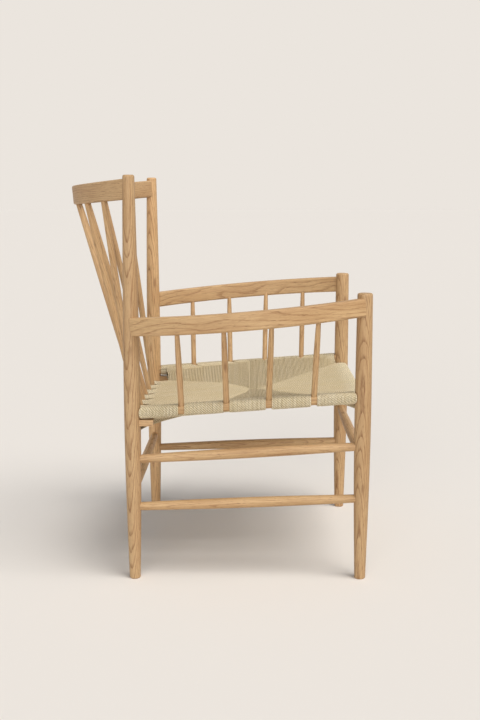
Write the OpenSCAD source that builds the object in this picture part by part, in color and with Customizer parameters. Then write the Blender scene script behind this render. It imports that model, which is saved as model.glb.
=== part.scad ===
// Low oak armchair: turned posts, bowed crest and arms, raked spindles, woven paper-cord seat.
// Millimetres. +X is the sitter's left, the chair faces -Y, +Z is up, the floor is z = 0.

/* [Overall] */
// Distance between the post axes across the chair
post_gap_x = 490; // [440:5:540]
// Distance between the post axes from front to back
post_gap_y = 464; // [430:2:500]
// Height of the rear posts
rear_h = 820; // [800:1:840]
// Height of the front posts
front_h = 590; // [584:1:600]

/* [Posts] */
// Post diameter at the floor
foot_d = 22.4; // [20:0.2:26]
// Post diameter at its thickest, just under the seat
belly_d = 33.4; // [32:0.2:38]
// Height of the thickest place
belly_z = 335; // [320:5:350]
// Rear post diameter at the top
rear_top_d = 23.4; // [22:0.2:28]
// Front post diameter at the top
front_top_d = 30.6; // [28:0.2:33]
// Rounding of the post tops
top_round = 4; // [2:0.5:6]

/* [Arms] */
// Height of the arm's centre at the rear post
arm_rear_z = 523; // [515:1:530]
// Height of the arm's centre at the front post
arm_front_z = 563; // [550:1:566]
// How far the arm bows outward halfway along
arm_bow = 65; // [40:1:75]
// Arm thickness
arm_t = 19; // [17:0.5:22]
// Arm depth from top to bottom
arm_h = 36; // [32:0.5:40]

/* [Crest] */
// Height of the crest's centre at the posts
crest_z = 793.4; // [788:0.2:794]
// Crest thickness
crest_t = 20; // [18:0.5:24]
// Crest depth from top to bottom
crest_h = 39.6; // [36:0.2:41]
// Radius of the crest's middle arc
crest_mid_r = 254.2; // [246:0.2:262]
// Half angle of the crest's middle arc
crest_mid_a = 30.4; // [28.5:0.1:32]
// Radius of the two flatter end arcs
crest_end_r = 411.8; // [390:0.2:430]
// Backward lean of the crest's face against its own drop
crest_lean = -0.6; // [-2:0.2:3]
// Drop of the crest towards its middle
crest_drop = 5.7; // [3:0.1:6.5]

/* [Spindles] */
// Distance between the middle back spindles at the seat
foot_pitch = 57.6; // [56:0.2:59]
// Distance between the middle back spindles at the crest
head_pitch = 67.6; // [66:0.2:69]
// Back spindle diameter halfway up
back_mid_d = 14; // [13:0.5:16]
// Back spindle diameter at the ends
back_end_d = 11; // [10:0.5:12]
// Arm spindle diameter near the seat
arm_low_d = 12; // [11:0.5:13]
// Arm spindle diameter under the arm
arm_high_d = 9.6; // [9:0.2:11]

/* [Rails] */
// Width of the seat rails
rail_w = 20; // [18:1:22]
// Depth of the seat rails
rail_h = 18; // [17:0.5:20]
// Height of the side rails' centre at the rear posts
side_rear_z = 347.5; // [344:0.5:352]
// Height of the side rails' centre at the front posts
side_front_z = 381; // [376:0.5:386]
// Height of the front rail's centre
front_rail_z = 358.8; // [355:0.2:361]
// Height of the rear rail's centre
rear_rail_z = 313.4; // [309:0.2:318]

/* [Stretchers] */
// Stretcher diameter at the middle
bar_mid_d = 21.5; // [18:0.5:24]
// Stretcher diameter at the posts
bar_end_d = 16.4; // [15:0.2:18]
// Height of the upper side stretchers at the rear posts
upper_rear_z = 251.5; // [246:0.5:258]
// Height of the upper side stretchers at the front posts
upper_front_z = 279; // [272:0.5:286]
// Height of the lower side stretchers at the rear posts
lower_rear_z = 152; // [146:0.5:158]
// Height of the lower side stretchers at the front posts
lower_front_z = 170; // [162:0.5:178]
// Height of the front cross stretcher
front_cross_z = 254.5; // [250:0.5:256]
// Height of the rear cross stretcher
rear_cross_z = 186; // [182:0.5:196]

/* [Seat] */
// Thickness of one layer of cord
cord_t = 3.2; // [2.6:0.1:3.6]
// Width of the gap in the cord at a spindle
notch_w = 15; // [14:0.5:17]
// Thickness of the weave at its centre
weave_t = 12; // [9:0.5:14]
// How far the front meeting point of the weave lies before the rear one
weave_strip = 20; // [10:1:30]

/* [Hidden] */
$fn = 48;
px = post_gap_x / 2;
py = post_gap_y / 2;
// Heights of the side stretchers, rear then front
upper_z = [upper_rear_z, upper_front_z];
lower_z = [lower_rear_z, lower_front_z];
// Seven back spindles: the middle one, then the places of the other three as shares of the pitch
back_n = 7;
foot_places = [0, 1, 2.06, 3.03];
head_places = [0, 1, 2, 2.88];
// How far the outer feet stand before the rail's axis, the heads behind the crest's centre line
foot_bow = 3;
head_back = 5;
tenon_d = 12;
tenon_in = 7;
clear = 0.25;
end_round = 4;
side_slope = (side_front_z - side_rear_z) / post_gap_y;
// Arm arc: half chord along the tilted arm, radius, half angle to where its outer face ends
arm_tilt = atan((arm_front_z - arm_rear_z) / post_gap_y);
arm_half = py / cos(arm_tilt);
arm_end_x = px + 6.5;
arm_r = (arm_half * arm_half + arm_bow * arm_bow) / (2 * arm_bow);
arm_a = asin(arm_half / (arm_r + arm_t / 2));
// Crest arcs: where the middle arc hands over to the end arcs, and the end angle
crest_mid_x = crest_mid_r * sin(crest_mid_a);
crest_end_a = asin(sin(crest_mid_a) + (px - crest_mid_x) / crest_end_r);
crest_depth = crest_mid_r * (1 - cos(crest_mid_a))
    + crest_end_r * (cos(crest_mid_a) - cos(crest_end_a));
// Reach of the crest behind the rear post axes, and the middle of the whole depth
crest_tip = crest_lean + crest_drop;
crest_reach = crest_depth * cos(crest_drop) + end_round
    + (crest_t / 2 - end_round) * cos(crest_tip) + (crest_h / 2 - end_round) * sin(crest_tip);
mid_y = (crest_reach - belly_d / 2) / 2;
arm_top_y = [138, 46.5, -46.5, -138];
arm_foot_y = [133, 42.5, -42.5, -133];
// Spindle ends: diameter, depth past the rail's axis, straight run
arm_low = [arm_low_d, 4, 13];
arm_high = [arm_high_d, 4, 23];
back_low = [back_end_d, 4, 13];
back_high = [back_end_d, -9, 27];
// Depth of a rail with its cord
cord_h = rail_h + 2 * cord_t;

// Post diameter at height z: a quarter wave up to the belly, another one to the top
function post_d(z, top_z, top_d) = z < belly_z
    ? foot_d + (belly_d - foot_d) * sin(90 * z / belly_z)
    : top_d + (belly_d - top_d) * cos(90 * (z - belly_z) / (top_z - belly_z));

// Height of the side rail's centre at depth y
function side_z(y) = side_rear_z + (py - y) * side_slope;

// Distance of the crest's centre line behind the rear post axes, at x
function crest_back(x) = abs(x) < crest_mid_x
    ? crest_depth - crest_mid_r * (1 - sqrt(1 - pow(x / crest_mid_r, 2)))
    : crest_end_r * (cos(asin(sin(crest_mid_a) + (abs(x) - crest_mid_x) / crest_end_r))
        - cos(crest_end_a));

// Foot and head of back spindle i, in the rear rail and at the height of the crest's centre
function fanned(i, places) = let (k = i - (back_n - 1) / 2) sign(k) * places[abs(k)];
function back_foot(i) = let (x = foot_pitch * fanned(i, foot_places))
    [x, py - foot_bow * pow(x / 175, 2), rear_rail_z];
function back_head(i) = let (x = head_pitch * fanned(i, head_places), b = crest_back(x))
    [x, py + b * cos(crest_drop) + head_back, crest_z - b * sin(crest_drop)];

// Outward distance of the arm's centre line at depth y, and its height
function arm_x(y) = arm_end_x + arm_bow - arm_r + sqrt(arm_r * arm_r - pow(y / cos(arm_tilt), 2));
function arm_z(y) = arm_rear_z + (py - y) * (arm_front_z - arm_rear_z) / post_gap_y;

// Foot and head of arm spindle i (0 is the rear one) on side s
function arm_foot(s, i) = [s * px, arm_foot_y[i], side_z(arm_foot_y[i])];
function arm_head(s, i) = [s * arm_x(arm_top_y[i]), arm_top_y[i], arm_z(arm_top_y[i])];

// Turns +Z to run from a to b; the section's X then points down on a level run
module along(a, b) {
    v = b - a;
    translate(a) rotate([0, acos(v.z / norm(v)), atan2(v.y, v.x)]) children();
}

// Rectangle with round corners, centred
module soft_rect(size, r) {
    square([size.x - 2 * r, size.y], center = true);
    square([size.x, size.y - 2 * r], center = true);
    for (i = [-1, 1], j = [-1, 1])
        translate([i * (size.x / 2 - r), j * (size.y / 2 - r)]) circle(r);
}

// Turned post with a domed top and an eased foot
module turned_post(h, top_d) {
    steps = 22;
    rise = h - top_round - 2;
    rotate_extrude() polygon(concat(
        [[0, 0], [foot_d / 2 - 1.5, 0]],
        [for (k = [0:steps]) let (z = 2 + rise * k / steps) [post_d(z, h, top_d) / 2, z]],
        [for (a = [15:15:75])
            [top_d / 2 - top_round * (1 - cos(a)), h - top_round * (1 - sin(a))]],
        [[top_d / 2 - top_round, h], [0, h]]));
}

module rear_blank(s) translate([s * px, py, 0]) turned_post(rear_h, rear_top_d);
module front_blank(s) translate([s * px, -py, 0]) turned_post(front_h, front_top_d);
module post_blanks() for (s = [-1, 1]) { rear_blank(s); front_blank(s); }

// Round tenons at both ends of a member that runs between two post axes
module tenons(a, b) {
    u = (b - a) / norm(b - a);
    along(a - u * tenon_in, a + u * 30) cylinder(d = tenon_d, h = 30 + tenon_in);
    along(b - u * 30, b + u * tenon_in) cylinder(d = tenon_d, h = 30 + tenon_in);
}

// Ends of every member, rear or side first
function side_ends(s, z) = [[s * px, py, z[0]], [s * px, -py, z[1]]];
function cross_ends(y, z) = [[-px, y, z], [px, y, z]];
function side_rail_ends(s) = side_ends(s, [side_rear_z, side_front_z]);

module end_tenons(e) tenons(e[0], e[1]);

// Seat rail: a bar with round corners, coped to the posts, with round tenons
module rail_bar(e, grow = 0) along(e[0], e[1])
    linear_extrude(norm(e[1] - e[0]))
        soft_rect([rail_h + 2 * grow, rail_w + 2 * grow], 6 + grow);

module seat_rail(e) {
    difference() {
        rail_bar(e);
        post_blanks();
    }
    end_tenons(e);
}

// Turned stretcher, fullest in the middle
module stretcher(e) {
    len = norm(e[1] - e[0]);
    steps = 16;
    difference() {
        along(e[0], e[1]) rotate_extrude() polygon(concat([[0, 0]],
            [for (k = [0:steps]) [(bar_end_d + (bar_mid_d - bar_end_d) * sin(180 * k / steps)) / 2,
                len * k / steps]],
            [[0, len]]));
        post_blanks();
    }
    end_tenons(e);
}

// Bores in a post for the tenons of its rails and stretchers
module post_holes(s, y) {
    end_tenons(side_rail_ends(s));
    end_tenons(side_ends(s, upper_z));
    end_tenons(side_ends(s, lower_z));
    end_tenons(cross_ends(y, y > 0 ? rear_rail_z : front_rail_z));
    end_tenons(cross_ends(y, y > 0 ? rear_cross_z : front_cross_z));
}

// Arm bent outward, its ends sunk in the posts
module arm_blank(s) translate([0, 0, arm_z(0)]) rotate([-arm_tilt, 0, 0]) scale_x(s)
    translate([arm_end_x + arm_bow - arm_r, 0, 0]) rotate([0, 0, -arm_a])
        rotate_extrude(angle = 2 * arm_a, $fn = 120) translate([arm_r, 0])
            soft_rect([arm_t, arm_h], end_round);

module scale_x(s) if (s > 0) children(); else mirror([1, 0, 0]) children();

// One arc of the crest, angles measured from straight back
module crest_arc(r, a0, a1) rotate([0, 0, 90 - a1])
    rotate_extrude(angle = a1 - a0, $fn = 120) translate([r, 0]) rotate(-crest_lean)
        soft_rect([crest_t, crest_h], end_round);

// Crest of three arcs that meet smoothly, let into the backs of the posts
module crest_blank() translate([0, py, crest_z]) rotate([-crest_drop, 0, 0]) {
    translate([0, crest_depth - crest_mid_r, 0]) crest_arc(crest_mid_r, -crest_mid_a, crest_mid_a);
    for (s = [-1, 1]) scale_x(s)
        translate([-(crest_end_r - crest_mid_r) * sin(crest_mid_a),
            crest_depth - crest_mid_r - (crest_end_r - crest_mid_r) * cos(crest_mid_a), 0])
            crest_arc(crest_end_r, crest_mid_a, crest_end_a - 0.5);
}

// Spindle from a to b: straight ends, given as [diameter, depth past the point, straight run],
// and a body between them that swells or tapers through the middle diameter
module spindle(a, b, low, mid_d, high) {
    len = norm(b - a);
    span = len - low[2] - high[2];
    steps = 14;
    along(a, b) rotate_extrude() polygon(concat(
        [[0, -low[1]], [low[0] / 2, -low[1]]],
        [for (k = [0:steps]) let (t = k / steps, w = sin(180 * t))
            [((low[0] + (high[0] - low[0]) * t) * (1 - w) + mid_d * w) / 2, low[2] + span * t]],
        [[high[0] / 2, len + high[1]], [0, len + high[1]]]));
}

// Straight bore for the end of a spindle that starts at a and runs towards b
module bore(a, b, end) {
    u = (b - a) / norm(b - a);
    along(a - u * end[1], b) cylinder(d = end[0], h = end[1] + end[2]);
}

module back_spindle(i) spindle(back_foot(i), back_head(i), back_low, back_mid_d, back_high);
module arm_spindle(s, i) spindle(arm_foot(s, i), arm_head(s, i), arm_low, arm_low_d, arm_high);

module rear_post(s) color("burlywood") scale_x(-s) difference() {
    rear_blank(-1);
    post_holes(-1, py);
    arm_blank(-1);
    crest_blank();
}

module front_post(s) color("burlywood") difference() {
    front_blank(s);
    post_holes(s, -py);
    arm_blank(s);
}

module crest_rail() color("tan") difference() {
    crest_blank();
    for (i = [0:back_n - 1]) bore(back_head(i), back_foot(i), back_high);
}

module arm_rail(s) color("tan") difference() {
    arm_blank(s);
    for (i = [0:3]) bore(arm_head(s, i), arm_foot(s, i), arm_high);
}

module seat_rail_side(s) color("peru") difference() {
    seat_rail(side_rail_ends(s));
    for (i = [0:3]) bore(arm_foot(s, i), arm_head(s, i), arm_low);
}

module seat_rail_front() color("peru") seat_rail(cross_ends(-py, front_rail_z));

module seat_rail_rear() color("peru") difference() {
    seat_rail(cross_ends(py, rear_rail_z));
    for (i = [0:back_n - 1]) bore(back_foot(i), back_head(i), back_low);
}

module side_stretcher(s, z) color("burlywood") stretcher(side_ends(s, z));
module cross_stretcher(y, z) color("burlywood") stretcher(cross_ends(y, z));
module one_back_spindle(i) color("burlywood") back_spindle(i);
module one_arm_spindle(s, i) color("burlywood") arm_spindle(s, i);

// Block in the corner between the side rail and the lower rear rail
module corner_block(s) color("sienna") difference() {
    translate([s * px - 9, py - 42, rear_rail_z + 8.5]) cube([18, 30, 12.5]);
    rear_blank(s);
}

// Weave: the front and rear triangles lie on one slope from rail to rail, the side triangles
// rise from the seams to the side rails, and the cord leaves both rear corners open
rear_top = rear_rail_z + rail_h / 2 + cord_t;
front_top = front_rail_z + rail_h / 2 + cord_t;
corner_x = px - 15;
corner_y = py - 15;
function slope_top(y) = rear_top + (py - y) / post_gap_y * (front_top - rear_top);
function weave_mid() = slope_top(-weave_strip / 2) - weave_t;
function slope_low(y) = y > 0
    ? weave_mid() + (rear_top - cord_h - weave_mid()) * y / py
    : weave_mid() + (front_top - cord_h - weave_mid()) * -y / py;
function seam_x(y) = y > 0 ? corner_x * min(1, y / corner_y)
    : y < -weave_strip ? corner_x * min(1, (-weave_strip - y) / (corner_y - weave_strip)) : 0;
function cross_u(k) = [-1, -0.75, -0.5, -0.25, 0, 0.25, 0.5, 0.75, 1][k];
// Nine stations across: four runs from rail to seam to seam to rail
function station_x(y, k) = let (u = cross_u(k), s = sign(u), m = seam_x(y))
    abs(u) <= 0.5 ? s * m * abs(u) * 2 : s * (m + (px - m) * (abs(u) - 0.5) * 2);
function station_z(y, k, top) = let (t = max(0, abs(cross_u(k)) * 2 - 1),
    mid = top ? slope_top(y) : slope_low(y),
    edge = side_z(y) + (top ? cord_h / 2 : -cord_h / 2)) mid + (edge - mid) * t;

module weave_panel() {
    rows = concat([for (k = [0:9]) py - k * corner_y / 9.7], [0],
        [for (k = [0:9]) -weave_strip - k * (corner_y - weave_strip) / 9.7], [-corner_y, -py]);
    n = len(rows);
    top = [for (y = rows, k = [0:8]) [station_x(y, k), y, station_z(y, k, true)]];
    low = [for (y = rows, k = [0:8]) [station_x(y, k), y, station_z(y, k, false)]];
    m = n * 9;
    polyhedron(concat(top, low), concat(
        [for (j = [0:n - 2], k = [0:7]) each [[j * 9 + k, j * 9 + k + 1, j * 9 + k + 10],
            [j * 9 + k, j * 9 + k + 10, j * 9 + k + 9]]],
        [for (j = [0:n - 2], k = [0:7]) each [[m + j * 9 + k, m + j * 9 + k + 10, m + j * 9 + k + 1],
            [m + j * 9 + k, m + j * 9 + k + 9, m + j * 9 + k + 10]]],
        [for (k = [0:7]) each [[k, m + k, m + k + 1], [k, m + k + 1, k + 1]]],
        [for (k = [0:7]) let (a = (n - 1) * 9 + k) each [[a, a + 1, m + a + 1], [a, m + a + 1, m + a]]],
        [for (j = [0:n - 2]) let (a = j * 9) each [[a, a + 9, m + a + 9], [a, m + a + 9, m + a]]],
        [for (j = [0:n - 2]) let (a = j * 9 + 8) each [[a, m + a, m + a + 9], [a, m + a + 9, a + 9]]]));
}

// Every rail that the cord wraps, grown by a distance all round
module wrapped_rails(grow) {
    for (s = [-1, 1]) rail_bar(side_rail_ends(s), grow);
    rail_bar(cross_ends(-py, front_rail_z), grow);
    rail_bar(cross_ends(py, rear_rail_z), grow);
}

module seat_weave() color("khaki") difference() {
    union() {
        difference() {
            weave_panel();
            for (s = [-1, 1]) translate([s * (px - 15.2) - 15.3, py - 37, 250]) cube([30.6, 60, 200]);
        }
        wrapped_rails(cord_t);
    }
    wrapped_rails(clear);
    for (s = [-1, 1]) {
        translate([s * px, py, 250]) cylinder(d = belly_d + 1.4, h = 200);
        translate([s * px, -py, 250]) cylinder(d = belly_d + 1.4, h = 200);
        for (i = [0:3]) translate([s * px + (s > 0 ? -9.5 : -20.5), arm_foot_y[i] - notch_w / 2, 300])
            cube([30, notch_w, 120]);
        translate([s * px - 20, py - 44, rear_rail_z + 8]) cube([40, 34, 13.4]);
    }
    for (i = [0:back_n - 1]) let (f = back_foot(i))
        translate([f.x - notch_w / 2, f.y - 9.5, 280]) cube([notch_w, 64, 80]);
}

// The pieces are drawn about the four posts' centre, then set over the middle of the outline
module stand() translate([0, -mid_y, 0]) children();

stand() rear_post(-1);  // rear_post_r
stand() rear_post(1);  // rear_post_l
stand() front_post(-1);  // front_post_r
stand() front_post(1);  // front_post_l
stand() crest_rail();
stand() arm_rail(-1);  // arm_rail_r
stand() arm_rail(1);  // arm_rail_l
stand() seat_rail_side(-1);  // seat_rail_side_r
stand() seat_rail_side(1);  // seat_rail_side_l
stand() seat_rail_front();
stand() seat_rail_rear();
stand() side_stretcher(-1, upper_z);  // stretcher_upper_r
stand() side_stretcher(1, upper_z);  // stretcher_upper_l
stand() side_stretcher(-1, lower_z);  // stretcher_lower_r
stand() side_stretcher(1, lower_z);  // stretcher_lower_l
stand() cross_stretcher(-py, front_cross_z);  // stretcher_front
stand() cross_stretcher(py, rear_cross_z);  // stretcher_rear
for (i = [0:back_n - 1])
    stand() one_back_spindle(i);
for (i = [0:3]) {
    stand() one_arm_spindle(-1, i);
    stand() one_arm_spindle(1, i);
}
stand() corner_block(-1);  // corner_block_r
stand() corner_block(1);  // corner_block_l
stand() seat_weave();
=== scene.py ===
# Low oak spindle armchair with a woven paper-cord seat: finishes, cord and studio.
# Metres. +X is the sitter's left, the chair faces -Y, +Z is up, the floor is z = 0.
import math
import random
from collections import namedtuple

import bmesh
import bpy
import numpy as np
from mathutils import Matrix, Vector


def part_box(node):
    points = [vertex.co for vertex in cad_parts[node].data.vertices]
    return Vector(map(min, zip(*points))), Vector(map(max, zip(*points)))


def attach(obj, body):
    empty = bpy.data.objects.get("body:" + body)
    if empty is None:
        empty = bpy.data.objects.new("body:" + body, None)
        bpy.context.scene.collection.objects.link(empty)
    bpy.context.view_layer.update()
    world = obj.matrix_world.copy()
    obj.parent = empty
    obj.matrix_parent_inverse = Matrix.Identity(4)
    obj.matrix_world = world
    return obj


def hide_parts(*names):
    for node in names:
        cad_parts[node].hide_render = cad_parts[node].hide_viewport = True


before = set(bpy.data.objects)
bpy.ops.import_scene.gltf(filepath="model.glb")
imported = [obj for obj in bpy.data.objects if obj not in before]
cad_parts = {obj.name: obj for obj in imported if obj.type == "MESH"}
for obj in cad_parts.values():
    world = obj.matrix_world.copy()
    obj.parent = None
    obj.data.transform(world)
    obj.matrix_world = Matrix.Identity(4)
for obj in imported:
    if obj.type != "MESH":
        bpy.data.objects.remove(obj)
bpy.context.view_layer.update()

# Posts: distance of their axes from the posts' centre, and their radius. The cord's places are
# measured from that centre, and OFFSET_Y is its own place in the frame
POST_X = 0.245
POST_Y = 0.232
POST_R = 0.0167
post_low, post_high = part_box("front_post_r")
OFFSET_Y = (post_low[1] + post_high[1]) / 2 + POST_Y

# Seat rails: half height, half width, radius of the edges, and heights of the centre lines
RAIL_H = 0.009
RAIL_W = 0.010
RAIL_EDGE = 0.006
REAR_Z = 0.3134
FRONT_Z = 0.3588
SIDE_REAR_Z = 0.3475
SIDE_FRONT_Z = 0.381

# Feet of the back spindles in x and of the arm spindles in y, and the bare patch of rail that
# the cords leave for each
BACK_FEET = [-0.1749, -0.1189, -0.0579, 0.0, 0.0579, 0.1189, 0.1749]
ARM_FEET = [0.133, 0.0425, -0.0425, -0.133]
REAR_NOTCH = 0.0132
SIDE_NOTCH = 0.0124

# Cord: radius, plies, and the distance along it from one groove between plies to the next
CORD_R = 0.0016
PLIES = 3
GROOVE_STEP = 0.0046
# Distance along a rail after which its cords show their grooves in the same place again
TWIST_STEP = 0.0052
# Least and greatest radius of a cord with little or much room, as shares of its usual one, and
# the share of its room that it takes, so that neighbours press into each other
PRESSED = 0.84
ROOMY = 1.20
FILLED = 1.03
# How far a cord strays at most: sideways, off its rail, and in its twist
STRAY = 0.0001
STRAY_UP = 0.00025
STRAY_TWIST = 0.07
# A packed stretch of cords stands fuller in its middle by this much, and most of the rise lies
# within this distance of its ends
SWELL = 0.0005
SWELL_REACH = 0.004

# Weave: thickness at its middle, the share by which its two layers close up towards the front
# and rear rails, and how far a cord's end runs past its seam and dips there
WEAVE_T = 0.012
THINNING = 0.45
END_PAST = 0.0030
END_DIP = 1.4 * END_PAST
# Seams between the panels, from the middle of the seat to a corner: x, then y
REAR_SEAM = ((0.0, 0.023, 0.118, 0.185, 0.214), (-0.004, 0.0, 0.061, 0.152, 0.195))
FRONT_SEAM = ((0.0, 0.230), (-0.020, -0.217))
# Rounds of cord in each rear and front quarter and in the strip between them
REAR_ROUNDS = 66
FRONT_ROUNDS = 64
STRIP_ROUNDS = 6
# Closed turns on each rail at a rear corner, and all cords on the front rail
CORNER_TURNS = 5
FRONT_SLOTS = 147
# Distance from a rail over which its cords fan out to their places at the seam
REAR_FAN = 0.026
FRONT_FAN = 0.022
SIDE_FAN = 0.016
# Gap between the outermost cord and a post, and the slack behind the rear rail
POST_GAP = 0.0018
REAR_LOOSE = 0.003

# How finely a strand is drawn: sides, longest and shortest step, points where it fans out, and
# degrees to a step round a rail's corner
SIDES = 8
LONG_STEP = 0.016
SHORT_STEP = 0.0004
FAN_POINTS = 4
CORNER_STEP = 25

# Least bow of a piece whose grain follows its bend
BENT = 0.01
# Oak: width of a year's ring, distance of the trunk's heart from a piece, and how far the heart
# runs away from the piece's line to each metre, for turned posts and for all else
RING = 0.0034
HEART = (0.018, 0.045)
POST_LEAN = (0.15, 0.22)
LEAN = (0.01, 0.035)
# How strongly the early wood of a ring shows between its fibres
POST_EARLY = 0.55
EARLY = 0.3
# Brightness of the pieces, some of them a little darker or lighter than usual: painted shade and
# painted light that even out how brightly the lamps light each piece
USUAL_SHADE = 0.86
PAINTED_LIGHT_AND_SHADE = {"crest_rail": 0.75, "arm_rail_r": 0.82, "front_post_r": 0.77, "rear_post_r": 0.76,
          "rear_post_l": 1.05, "stretcher_rear": 1.22, "stretcher_front": 0.80,
          "stretcher_upper_r": 0.82, "stretcher_lower_r": 0.83}


def srgb(r, g, b):
    """Linear colour of an 8-bit screen colour."""
    def one(c):
        c /= 255
        return c / 12.92 if c <= 0.04045 else ((c + 0.055) / 1.055) ** 2.4
    return (one(r), one(g), one(b), 1.0)


# Material maths
class Value:
    """A socket that takes part in arithmetic by adding Math nodes."""

    def __init__(self, tree, socket):
        self.tree = tree
        self.socket = socket

    def _math(self, operation, *terms):
        return self.tree.add("ShaderNodeMath", {"operation": operation}, dict(enumerate(terms)))

    def __add__(self, other):
        return self._math("ADD", self, other)

    def __radd__(self, other):
        return self._math("ADD", other, self)

    def __sub__(self, other):
        return self._math("SUBTRACT", self, other)

    def __rsub__(self, other):
        return self._math("SUBTRACT", other, self)

    def __mul__(self, other):
        return self._math("MULTIPLY", self, other)

    def __truediv__(self, other):
        return self._math("DIVIDE", self, other)

    def __pow__(self, other):
        return self._math("POWER", self, other)

    def wave(self):
        return self._math("SINE", self)

    def size(self):
        return self._math("ABSOLUTE", self)

    def fraction(self):
        return self._math("FRACT", self)

    def between(self, low, high):
        """0 at low and 1 at high, smooth between and level beyond; low may be the larger."""
        return self.tree.add("ShaderNodeMapRange", {"interpolation_type": "SMOOTHSTEP"},
                             {"Value": self, "From Min": low, "From Max": high})

    def output(self, name):
        """Another output of the same node."""
        return Value(self.tree, self.socket.node.outputs[name])


class Nodes:
    """A node tree under construction."""

    def __init__(self, tree):
        self.nodes = tree.nodes
        self.links = tree.links

    def add(self, kind, settings=None, values=None, out=0):
        """One output of a new node, which gets these settings and input values."""
        node = self.nodes.new(kind)
        for name, value in (settings or {}).items():
            setattr(node, name, value)
        for key, value in (values or {}).items():
            self.put(node.inputs[key], value)
        return Value(self, node.outputs[out])

    def put(self, socket, value):
        if isinstance(value, Value):
            self.links.new(value.socket, socket)
        else:
            socket.default_value = value


class Finish(Nodes):
    """A material under construction."""

    def __init__(self, name, roughness, specular):
        self.material = bpy.data.materials.new(name)
        self.material.use_nodes = True
        super().__init__(self.material.node_tree)
        self.shader = self.nodes["Principled BSDF"]
        self.set("Roughness", roughness)
        self.set("Specular IOR Level", specular)

    def set(self, name, value):
        self.put(self.shader.inputs[name], value)

    def place(self):
        return self.add("ShaderNodeTexCoord", out="Object")

    def point_value(self, name):
        return self.add("ShaderNodeAttribute", {"attribute_name": name}, out="Fac")

    def dot(self, vector, direction):
        return self.add("ShaderNodeVectorMath", {"operation": "DOT_PRODUCT"},
                        {0: vector, 1: tuple(direction)}, out="Value")

    def pack(self, x, y, z):
        return self.add("ShaderNodeCombineXYZ", None, {0: x, 1: y, 2: z})

    def noise(self, vector, detail=2.0, roughness=0.5, scale=1.0):
        return self.add("ShaderNodeTexNoise", None,
                        {"Vector": vector, "Scale": scale, "Detail": detail,
                         "Roughness": roughness})

    def blend(self, factor, first, second):
        """Mix of two colours; 6, 7 and 2 are the Mix node's sockets for colour."""
        return self.add("ShaderNodeMix", {"data_type": "RGBA"},
                        {0: factor, 6: first, 7: second}, out=2)

    def bump(self, height, strength, distance):
        self.set("Normal", self.add("ShaderNodeBump", None,
                                    {"Height": height, "Strength": strength,
                                     "Distance": distance}))


# Oak
def grain_line(node):
    """Ends of a wooden piece's centre line and its bow, from its own mesh."""
    end_share, middle_share = 0.03, 0.08
    points = np.array([v.co for v in node.data.vertices])
    low, high = points.min(0), points.max(0)
    axis = int(np.argmax(high - low))
    length = high[axis] - low[axis]
    along = (points[:, axis] - low[axis]) / length

    def middle(t, reach):
        near = points[np.abs(along - t) <= reach]
        return Vector((near.min(0) + near.max(0)) / 2)

    start, end = middle(0.0, end_share), middle(1.0, end_share)
    if not np.any(np.abs(along - 0.5) <= middle_share):
        return start, end, Vector((0, 0, 0))
    return start, end, middle(0.5, middle_share) - (start + end) / 2


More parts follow.
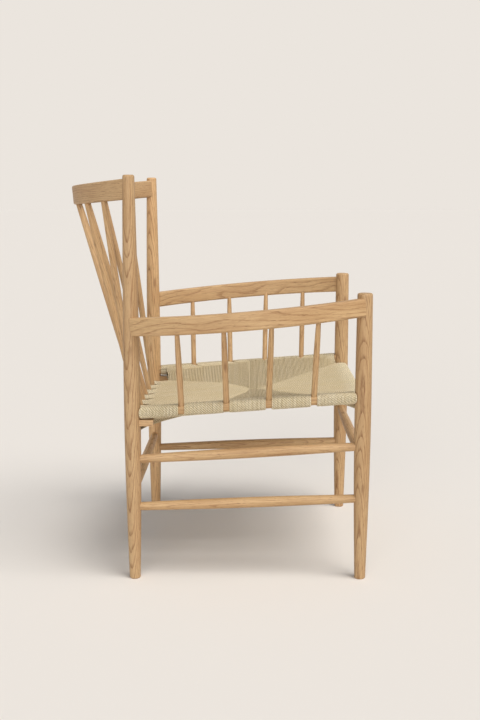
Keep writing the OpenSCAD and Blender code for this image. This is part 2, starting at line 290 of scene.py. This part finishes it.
def oak(node, seed, shade):
    """Oiled oak whose grain follows one piece: growth rings, pores, flecks and small knots."""
    rng = random.Random(seed)
    post = "post" in node.name
    start, end, bow = grain_line(node)
    length = (end - start).length
    along = (end - start).normalized()
    side = along.cross(Vector((0.31, 0.52, 0.79))).normalized()
    face = along.cross(side)

    # Place in the piece: t along it, u and v across it, without the bow of a bent piece
    f = Finish("oak_" + node.name, roughness=0.5, specular=0.35)
    place = f.place()
    t = f.dot(place, along) - start.dot(along)
    u = f.dot(place, side) - start.dot(side)
    v = f.dot(place, face) - start.dot(face)
    if bow.length > BENT:
        arch = 1 - (t * (2 / length) - 1) ** 2.0
        u = u - arch * bow.dot(side)
        v = v - arch * bow.dot(face)
    t = t + rng.uniform(1, 9)

    def grain(across, lengthwise, detail=2.0, roughness=0.5):
        """Noise drawn out along the piece, with its waves to the metre both ways."""
        return f.noise(f.pack(u * across, v * across, t * lengthwise), detail, roughness)

    # Rings round a heart that wanders slowly, so that they run out in long arches
    slow = grain(9, 3.2) - 0.5
    slow_b = f.noise(f.pack(u * 7 + 5, v * 7, t * 2.1), 1.0) - 0.5
    quick = grain(60, 14) - 0.5
    bearing = rng.uniform(0, math.tau)
    lean = rng.uniform(*(POST_LEAN if post else LEAN))
    heart = rng.uniform(*HEART)
    tone = rng.uniform(-1, 1)
    du = u + math.cos(bearing) * heart + slow * 0.034 + t * (lean * math.cos(bearing + 0.7))
    dv = v + math.sin(bearing) * heart + slow_b * 0.03
    radius = (du * du + dv * dv) ** 0.5 + quick * RING
    year = (radius / RING).fraction()
    early = year.between(0.42, 0.0) * year.between(0.0, 0.06)

    # Pores: short dark dashes, most of them in the early wood, and a few coarse flecks
    pores = grain(1500, 90, 1.0)
    pore = pores.between(0.58, 0.7) * (early * 0.75 + 0.25)
    flecks = grain(620, 80, 1.0)
    fleck = flecks.between(0.62, 0.72) * (early * 0.6 + 0.4)

    # Fibres, strands of them, long streaks and cloudy patches
    fibre = grain(620, 36, 3.0, 0.6)
    strand = grain(360, 15, 3.0, 0.65)
    streak = grain(110, 3)
    cloud = grain(20, 6)

    # Small knots, a few to a metre
    cells = f.add("ShaderNodeTexVoronoi", None,
                  {"Vector": f.pack(u * 26, v * 26, t * 7.5), "Scale": 1.0})
    knot = cells.between(0.13, 0.03)

    def tint(red, green, blue):
        """Screen colour in this piece's own tone and brightness, which for some pieces holds
        painted light or shade.
        """
        r, g, b, a = srgb(red + 4 * tone, green + 4 * tone, blue + 5 * tone)
        return (r * shade, g * shade, b * shade, a)

    ring_mark = early * ((POST_EARLY if post else EARLY) + fibre.between(0.4, 0.65) * 0.45)
    colour = f.blend(cloud.between(0.3, 0.7), tint(201, 161, 114), tint(217, 180, 132))
    colour = f.blend(streak.between(0.52, 0.78) * 0.25, colour, tint(205, 158, 120))
    colour = f.blend(ring_mark, colour, tint(146, 102, 62))
    colour = f.blend(strand.between(0.45, 0.72) * 0.34, colour, tint(160, 119, 77))
    colour = f.blend(fibre.between(0.42, 0.72) * 0.3, colour, tint(163, 119, 77))
    colour = f.blend(pore * 0.6, colour, tint(120, 82, 50))
    colour = f.blend(fleck * 0.75, colour, tint(112, 76, 44))
    colour = f.blend(knot * 0.6, colour, tint(128, 86, 54))
    f.set("Base Color", colour)
    f.set("Roughness", 0.46 + fibre * 0.14 + pore * 0.2)
    f.bump(fibre * 0.35 + (1 - pore) * 0.6 + (1 - early) * 0.3, 0.25, 0.0004)
    return f.material


# Paper cord
def paper_cord():
    """Twisted paper cord. Its UV map counts the grooves along the cord and goes once round it.

    tone is the strand's own. One share grows from the rails to the panels and paints shade on the
    panels, darker than the rolls round the rails; flank grows from the middle of a strand to the
    sides that touch its neighbours and paints shade between strands.
    """
    f = Finish("paper_cord", roughness=0.72, specular=0.25)
    uv = f.add("ShaderNodeUVMap", {"uv_map": "UVMap"})
    run = f.add("ShaderNodeSeparateXYZ", None, {0: uv}, out="X")
    turn = run.output("Y")
    tone = f.point_value("tone")
    flank = f.point_value("flank")
    worn = f.point_value("worn")

    ply = ((run + turn * PLIES) * math.pi).wave().size()
    groove_shade = ply.between(0.62, 0.05)
    fibre = f.noise(f.pack(run * 5 + tone * 40, turn * 9 + run * 3, tone * 9), 3.0, 0.6)
    patch = f.noise(f.place(), scale=22.0)
    blotch = f.noise(f.pack(run * 2.4, tone * 60, tone * 17), 2.0, 0.6)

    fresh = tone * 0.7 + fibre.between(0.3, 0.7) * 0.3
    colour = f.blend(fresh, srgb(238, 221, 184), srgb(254, 241, 210))
    colour = f.blend(patch.between(0.35, 0.7) * 0.25, colour, srgb(232, 216, 168))
    # Painted shade: the panels darker than the rolls round the rails
    colour = f.blend(worn * 0.5, colour, srgb(202, 180, 139))
    colour = f.blend(blotch.between(0.45, 0.66) * 0.32, colour, srgb(182, 157, 110))
    # Painted shade in the grooves between plies, a little weaker on the panels
    colour = f.blend(groove_shade * (1 - worn * 0.15), colour, srgb(92, 70, 38))
    # Painted shade where a strand's sides touch its neighbours
    colour = f.blend(flank.between(0.5, 0.97) * 0.8, colour, srgb(112, 88, 50))
    f.set("Base Color", colour)
    f.set("Roughness", 0.66 + fibre * 0.14)
    f.bump(ply * 0.8 + fibre * 0.2, 1.0, 0.0007)
    return f.material


# Heights and places in the weave
def side_z(y):
    """Height of a side rail's centre line."""
    return SIDE_REAR_Z + (POST_Y - y) / (2 * POST_Y) * (SIDE_FRONT_Z - SIDE_REAR_Z)


def top_z(y):
    """Centre height of the upper layer of cord, on the slope from the rear to the front rail."""
    rise = RAIL_H + CORD_R
    return REAR_Z + rise + (POST_Y - y) / (2 * POST_Y) * (FRONT_Z - REAR_Z)


def low_z(y):
    """Centre height of the lower layer of cord at a seam."""
    return top_z(y) - (WEAVE_T - 2 * CORD_R) * (1 - THINNING * abs(y) / POST_Y)


def seam_of(line, i, rounds):
    """Seam point of a round, counted from the corner.

    The rounds share out the larger of the seam's ways in x and y, stretch by stretch, so that
    each of them has room.
    """
    xs, ys = line
    way = np.append(0.0, np.cumsum(np.maximum(np.abs(np.diff(xs)), np.abs(np.diff(ys)))))
    share = way[-1] * (1 - (i + 0.5) / rounds)
    return float(np.interp(share, way, xs)), float(np.interp(share, way, ys))


def free_runs(reach, feet, width):
    """Stretches of a rail between its posts that the spindles leave free."""
    edges = [-reach]
    for foot in sorted(feet):
        edges += [foot - width / 2, foot + width / 2]
    edges.append(reach)
    return [(edges[k], edges[k + 1]) for k in range(0, len(edges), 2)]


def half_room(runs, count):
    """Half the room of each of count strands in the free stretches."""
    return sum(b - a for a, b in runs) / count / 2


def packed(count, runs):
    """Places of count strands side by side in the free stretches, a whole number in each."""
    total = sum(b - a for a, b in runs)
    places, done, passed = [], 0, 0.0
    for a, b in runs:
        passed += b - a
        upto = round(count * passed / total)
        n = upto - done
        places += [a + (b - a) * (k + 0.5) / n for k in range(n)]
        done = upto
    return places


def swell(runs, place):
    """Lift of a cord off its rail: each packed stretch is a little fuller in its middle."""
    edge = min(min(abs(place - a), abs(b - place)) for a, b in runs)
    return SWELL * (1 - math.exp(-edge / SWELL_REACH))


def snug(half):
    """Radius of a cord whose neighbours leave it room of this half width."""
    return min(CORD_R * ROOMY, max(CORD_R * PRESSED, half * FILLED))


def smooth(t):
    """0 below 0 and 1 above 1, smooth between."""
    t = max(0.0, min(1.0, t))
    return t * t * (3 - 2 * t)


# A rail's section, with points as (outward, up) from the rail's centre
def bend(centre, r, start, stop):
    """Points on a round corner of the section, angles in degrees from outward to up."""
    steps = max(1, round(abs(stop - start) / CORNER_STEP))
    angles = [math.radians(start + (stop - start) * k / steps) for k in range(steps + 1)]
    return [(centre[0] + r * math.cos(a), centre[1] + r * math.sin(a)) for a in angles]


def tangent(centre, r, point, upper):
    """Angle at which a straight cord from an inner point meets the rail's inner corner.

    It is kept to the part of a circle that the upper or lower corner can have.
    """
    out, up = point[0] - centre[0], point[1] - centre[1]
    away = math.degrees(math.atan2(up, out))
    spread = math.degrees(math.acos(min(1.0, r / math.hypot(out, up))))
    angle = (away - spread if upper else away + spread) % 360
    return min(max(angle, 90), 200) if upper else min(max(angle, 160), 270)


def wrapped(rail, lift, top=None, low=None):
    """Section of a cord from its upper seam over and round a rail to its lower seam.

    top and low are the seam points. Without them the cord makes one closed turn.
    """
    half_w, half_h = RAIL_W + CORD_R + lift, RAIL_H + CORD_R + lift
    r = RAIL_EDGE + CORD_R + lift
    inner_top = (-half_w + r, half_h - r)
    inner_low = (-half_w + r, -half_h + r)
    upper = tangent(inner_top, r, top, True) if top else 180
    lower = tangent(inner_low, r, low, False) if low else 180
    ring = (bend(inner_top, r, upper, 90)
            + bend((half_w + rail.loose - r, half_h - r), r, 90, 0)
            + bend((half_w + rail.loose - r, -half_h + r), r, 0, -90)
            + bend(inner_low, r, 270, lower))
    return ring if top else ring + ring[:1]


# Meshes of strands
Strand = namedtuple("Strand", "points radii worn along_x tone shift")


class Cords:
    """Strands gathered into one piece."""

    def __init__(self, name, seed):
        self.name = name
        self.rng = random.Random(seed)
        self.strands = []

    def strand(self, points, radii, worn, along_x, first, place):
        """Adds a strand; along_x tells that its neighbours lie beside it in x.

        Its twist starts at point number first, by an amount that goes with its place.
        """
        before = sum(math.dist(points[k], points[k + 1]) for k in range(first))
        stray = self.rng.uniform(-STRAY_TWIST, STRAY_TWIST)
        shift = place / TWIST_STEP - before / GROOVE_STEP + stray
        self.strands.append(Strand(points, radii, worn, along_x, self.rng.random(), shift))

    def build(self, material):
        """One mesh of closed tubes, with the values that the material reads."""
        curve = bpy.data.curves.new(self.name, "CURVE")
        curve.dimensions = "3D"
        curve.bevel_depth = 1.0
        curve.bevel_resolution = (SIDES - 4) // 2
        curve.twist_mode = "MINIMUM"
        runs, tones, panel_shades, middles = [], [], [], []
        for strand in self.strands:
            spline = curve.splines.new("POLY")
            spline.points.add(len(strand.points) - 1)
            axis = 0 if strand.along_x else 1
            run, last = strand.shift, strand.points[0]
            for k, point in enumerate(strand.points):
                at = spline.points[k]
                at.co = (point[0], point[1] + OFFSET_Y, point[2], 1)
                at.radius = strand.radii[k]
                run += math.dist(point, last) / GROOVE_STEP
                last = point
                runs += [run] * SIDES
                tones += [strand.tone] * SIDES
                panel_shades += [strand.worn[k]] * SIDES
                middles += [(axis, at.co[axis], strand.radii[k])] * SIDES
        mesh = mesh_of(curve)
        set_runs(mesh, runs)
        set_values(mesh, "tone", tones)
        set_values(mesh, "worn", panel_shades)
        set_values(mesh, "flank", [abs(v.co[axis] - centre) / radius for v, (axis, centre, radius)
                                   in zip(mesh.vertices, middles)])
        close_ends(mesh)
        mesh.materials.clear()
        mesh.materials.append(material)
        piece = bpy.data.objects.new(self.name, mesh)
        bpy.context.scene.collection.objects.link(piece)
        return piece


def mesh_of(curve):
    """A curve's mesh, which has the curve's points in order, each with its ring of sides."""
    holder = bpy.data.objects.new(curve.name + "_path", curve)
    bpy.context.scene.collection.objects.link(holder)
    shaped = holder.evaluated_get(bpy.context.evaluated_depsgraph_get())
    mesh = bpy.data.meshes.new_from_object(shaped)
    bpy.data.objects.remove(holder)
    return mesh


def set_runs(mesh, runs):
    """Writes every point's run along its cord into the UV map."""
    layer = mesh.uv_layers[0].data
    uvs = np.empty(len(layer) * 2)
    layer.foreach_get("uv", uvs)
    corners = np.empty(len(mesh.loops), dtype=int)
    mesh.loops.foreach_get("vertex_index", corners)
    uvs[0::2] = np.array(runs)[corners]
    layer.foreach_set("uv", uvs)


def set_values(mesh, name, values):
    mesh.attributes.new(name, "FLOAT", "POINT").data.foreach_set("value", values)


def close_ends(mesh):
    tubes = bmesh.new()
    tubes.from_mesh(mesh)
    open_edges = [e for e in tubes.edges if e.is_boundary]
    bmesh.ops.holes_fill(tubes, edges=open_edges, sides=SIDES)
    tubes.to_mesh(mesh)
    tubes.free()


# A rail to wrap: whether it runs along x, its side (1 or -1), distance from the centre and
# height, the distance over which its cords fan out, how loosely they pass its outer face, its
# free stretches, and half the room that a cord has on it
Rail = namedtuple("Rail", "along_x sign at z fan loose runs tight")


def on_rail(rail, out, up, across):
    """Point this far outward and up from a rail's centre line, across being its place along it."""
    far = (out + rail.at) * rail.sign
    return (across, far, rail.z + up) if rail.along_x else (far, across, rail.z + up)


def beside_post(rail, out, place):
    """Place along a rail of a cord's point this far outward.

    The cords of the outermost stretches spread, so that they fill the room beside a round post.
    """
    start, end = max(0.0, rail.runs[-1][0]), rail.runs[-1][1]
    room = POST_R - math.sqrt(POST_R ** 2 - max(0.0, min(out, POST_R)) ** 2)
    grown = start + (abs(place) - start) * (1 + room / (end - start))
    return math.copysign(grown, place) if abs(place) > start else place


def lay(cords, rail, seam, place, wide):
    """One strand from its upper seam (x, y) round a rail to its lower seam.

    place is its place along the rail and wide half the room it has at the seam.
    """
    stray = cords.rng.uniform(-STRAY, STRAY)
    seam_out = seam[1 if rail.along_x else 0] * rail.sign - rail.at
    seam_side = seam[0 if rail.along_x else 1]
    top = (seam_out, top_z(seam[1]) - rail.z)
    low = (seam_out, low_z(seam[1]) - rail.z)
    lift = swell(rail.runs, place) + cords.rng.uniform(0.0, STRAY_UP)
    ring = wrapped(rail, lift, top, low)
    # Way from the seam to the rail, and the part of it on which the cord fans out
    reach = max(0.001, ring[0][0] - seam_out)
    fan = min(rail.fan, reach)

    def straight(start, end):
        """Points from the seam to just before the rail, closer together on the fan."""
        steps = max(2, round(math.dist(start, end) / LONG_STEP))
        marks = {k / steps for k in range(steps)}
        marks |= {1 - min(1.0, fan * k / FAN_POINTS / reach) for k in range(1, FAN_POINTS + 1)}
        return [(start[0] + (end[0] - start[0]) * m, start[1] + (end[1] - start[1]) * m)
                for m in sorted(marks) if m < 0.995]

    section = [(seam_out - END_PAST, top[1] - END_DIP)] + straight(top, ring[0]) + ring
    section += straight(low, ring[-1])[::-1] + [(seam_out - END_PAST, low[1] + END_DIP)]
    kept = section[:1]
    for spot in section[1:]:
        if math.dist(spot, kept[-1]) > SHORT_STEP:
            kept.append(spot)
    first = min(range(len(kept)), key=lambda k: math.dist(kept[k], ring[0]))
    points, radii, worn = [], [], []
    for out, up in kept:
        share = smooth((ring[0][0] - out) / fan)
        foot = beside_post(rail, out, place)
        across = foot + (seam_side - foot) * share + stray
        points.append(on_rail(rail, out, up, across))
        radii.append(snug(rail.tight + (wide - rail.tight) * share))
        # The share from rail to seam also sets the painted shade on the panels
        worn.append(share)
    cords.strand(points, radii, worn, rail.along_x, first, place)


def closed_turn(cords, rail, place):
    """One turn of cord round a rail, which doesn't reach into the weave."""
    points = [on_rail(rail, out, up, beside_post(rail, out, place))
              for out, up in wrapped(rail, swell(rail.runs, place))]
    radii = [snug(rail.tight)] * len(points)
    cords.strand(points, radii, [0.0] * len(points), rail.along_x, 0, place)


def cross_rail(name, sign, seed):
    """Cord of the rear (1) or front (-1) rail."""
    cords = Cords(name, seed)
    rear = sign > 0
    line, rounds = (REAR_SEAM, REAR_ROUNDS) if rear else (FRONT_SEAM, FRONT_ROUNDS)
    bare = CORNER_TURNS if rear else 0
    slots = 2 * (rounds + bare) if rear else FRONT_SLOTS
    z, fan, loose = (REAR_Z, REAR_FAN, REAR_LOOSE) if rear else (FRONT_Z, FRONT_FAN, 0.0)
    runs = free_runs(POST_X - POST_R - POST_GAP, BACK_FEET if rear else [], REAR_NOTCH)
    rail = Rail(True, sign, POST_Y, z, fan, loose, runs, half_room(runs, slots))
    places = packed(slots, runs)
    woven = slots - 2 * bare
    taken = [bare + int((k + 0.5) * woven / (2 * rounds)) for k in range(2 * rounds)]
    for k, slot in enumerate(taken):
        half = -1 if k < rounds else 1
        i = k if half < 0 else 2 * rounds - 1 - k
        x, y = seam_of(line, i, rounds)
        next_x = seam_of(line, i + 1 if i + 1 < rounds else i - 1, rounds)[0]
        lay(cords, rail, (half * x, y), places[slot], abs(x - next_x) / 2)
    # Turns that fill the longer front rail and the open rear corners
    for slot in sorted(set(range(slots)) - set(taken)):
        closed_turn(cords, rail, places[slot])
    return cords


def side_rail(name, sign, seed):
    """Cord of the left (1) or right (-1) side rail."""
    cords = Cords(name, seed)
    runs = free_runs(POST_Y - POST_R - POST_GAP, ARM_FEET, SIDE_NOTCH)
    seams = [seam_of(FRONT_SEAM, i, FRONT_ROUNDS) for i in range(FRONT_ROUNDS)]
    low, high = FRONT_SEAM[1][0], REAR_SEAM[1][0]
    seams += [(0.0, low + (high - low) * (k + 0.5) / STRIP_ROUNDS) for k in range(STRIP_ROUNDS)]
    seams += [seam_of(REAR_SEAM, i, REAR_ROUNDS) for i in range(REAR_ROUNDS - 1, -1, -1)]
    places = packed(len(seams) + CORNER_TURNS, runs)
    tight = half_room(runs, len(places))
    for k, place in enumerate(places):
        rail = Rail(False, sign, POST_X, side_z(place), SIDE_FAN, 0.0, runs, tight)
        if k < len(seams):
            x, y = seams[k]
            next_y = seams[k + 1 if k + 1 < len(seams) else k - 1][1]
            lay(cords, rail, (sign * x, y), place, abs(next_y - y) / 2)
        else:
            closed_turn(cords, rail, place)
    return cords


# The wooden pieces keep their solids and get oak, some of it with painted light or shade in its
# brightness
for number, (name, node) in enumerate(sorted(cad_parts.items())):
    if name == "seat_weave":
        continue
    node.data.materials.clear()
    node.data.materials.append(oak(node, 100 + number, PAINTED_LIGHT_AND_SHADE.get(name, USUAL_SHADE)))

# The woven seat
cord_finish = paper_cord()
weave = [cross_rail("cord_rear", 1, 11), cross_rail("cord_front", -1, 12),
         side_rail("cord_right", -1, 13), side_rail("cord_left", 1, 14)]
for cords in weave:
    piece = cords.build(cord_finish)
    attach(piece, "root")
    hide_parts("seat_weave")

# Studio: one even floor, a sky that lights softly, and wide soft lamps
BACKDROP = srgb(235, 229, 222)


def studio_floor():
    f = Finish("studio_floor", roughness=1.0, specular=0.0)
    f.set("Base Color", BACKDROP)
    bpy.ops.mesh.primitive_plane_add(size=80)
    floor = bpy.context.object
    floor.name = "floor"
    floor.data.materials.append(f.material)


def sky(strength, colour):
    """A world that lights in one colour and looks like the floor."""
    world = bpy.data.worlds.new("studio")
    bpy.context.scene.world = world
    world.use_nodes = True
    f = Nodes(world.node_tree)
    light = f.nodes["Background"]
    f.put(light.inputs["Color"], colour)
    f.put(light.inputs["Strength"], strength)
    camera_ray = f.add("ShaderNodeLightPath", out="Is Camera Ray")
    seen = camera_ray + camera_ray.output("Is Glossy Ray")
    seen = seen + camera_ray.output("Is Transmission Ray")
    shown = f.add("ShaderNodeBackground", None, {"Color": BACKDROP})
    mixed = f.add("ShaderNodeMixShader", None,
                  {0: seen, 1: Value(f, light.outputs[0]), 2: shown})
    f.put(f.nodes["World Output"].inputs["Surface"], mixed)


def lamp(name, direction, share, spread, colour=(1.0, 1.0, 1.0)):
    """A sun that gives the floor this share of full light, from a direction."""
    to = Vector(direction).normalized()
    data = bpy.data.lights.new(name, "SUN")
    data.energy = share * math.pi / to.z
    data.angle = math.radians(spread)
    data.color = colour
    lit = bpy.data.objects.new(name, data)
    lit.rotation_euler = to.to_track_quat("Z", "Y").to_euler()
    bpy.context.scene.collection.objects.link(lit)


studio_floor()
sky(strength=0.26, colour=(0.92, 0.98, 1.06, 1.0))
lamp("key", (-0.37, -0.40, 1.0), share=0.545, spread=34, colour=(1.03, 1.0, 0.96))
lamp("side", (-0.3, -1.3, 1.0), share=0.08, spread=30)
lamp("front", (-1.6, 0.2, 0.40), share=0.12, spread=40)

# Camera, fitted to the edges of the four posts in the photo: sizes there in pixels, the sensor
# in millimetres, angles in radians
PHOTO_HEIGHT = 720
FOCAL_PIXELS = 1025.53
SHIFT_PIXELS = -0.614
SENSOR = 36
CAMERA_AT = (-2.26466, 0.00114 + OFFSET_Y, 0.79121)
PITCH = 0.16456
YAW = 0.00637
camera = bpy.data.objects.new("camera", bpy.data.cameras.new("camera"))
camera.data.sensor_width = SENSOR
camera.data.lens = FOCAL_PIXELS / PHOTO_HEIGHT * SENSOR
camera.data.shift_x = SHIFT_PIXELS / PHOTO_HEIGHT
camera.location = CAMERA_AT
camera.rotation_euler = (math.pi / 2 - PITCH, 0, YAW - math.pi / 2)
bpy.context.scene.collection.objects.link(camera)
bpy.context.scene.camera = camera
bpy.context.scene.view_settings.view_transform = "Standard"
